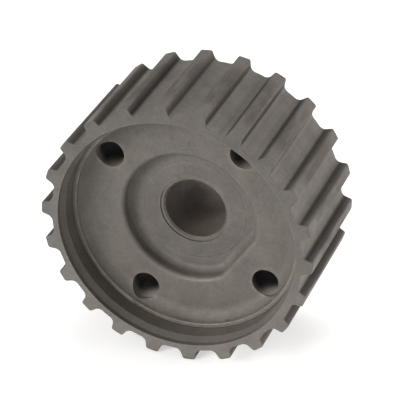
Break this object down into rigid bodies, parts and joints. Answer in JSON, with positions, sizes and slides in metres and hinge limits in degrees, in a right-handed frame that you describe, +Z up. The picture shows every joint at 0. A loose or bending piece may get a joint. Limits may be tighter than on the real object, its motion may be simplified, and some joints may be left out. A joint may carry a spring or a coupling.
{
  "type": "timing belt pulley",
  "caption": "Toothed pulley for a timing belt, cupped on one face, with a D-shaped shaft seat, a through bore and tapped holes for a second pulley.",
  "frame": {"origin": "on the shaft axis, in the middle of the toothed face", "axes": "+Y along the shaft axis from the cup to the boss, +Z up; the flat of the D-shaped seat faces 35 degrees below +X"},
  "size_m": [0.0654, 0.0365, 0.0652],
  "materials": {
    "rim_steel": "matte sintered steel, dark warm grey",
    "disc_steel": "matte sintered steel, dark warm grey",
    "hub_steel": "matte turned steel, dark warm grey",
    "bush_steel": "matte turned steel, slightly lighter grey"
  },
  "bodies": {
    "root": {"toothed_rim": "rim_steel", "web_disc": "disc_steel", "drive_hub": "hub_steel", "bore_bush": "bush_steel"}
  },
  "joints": []
}
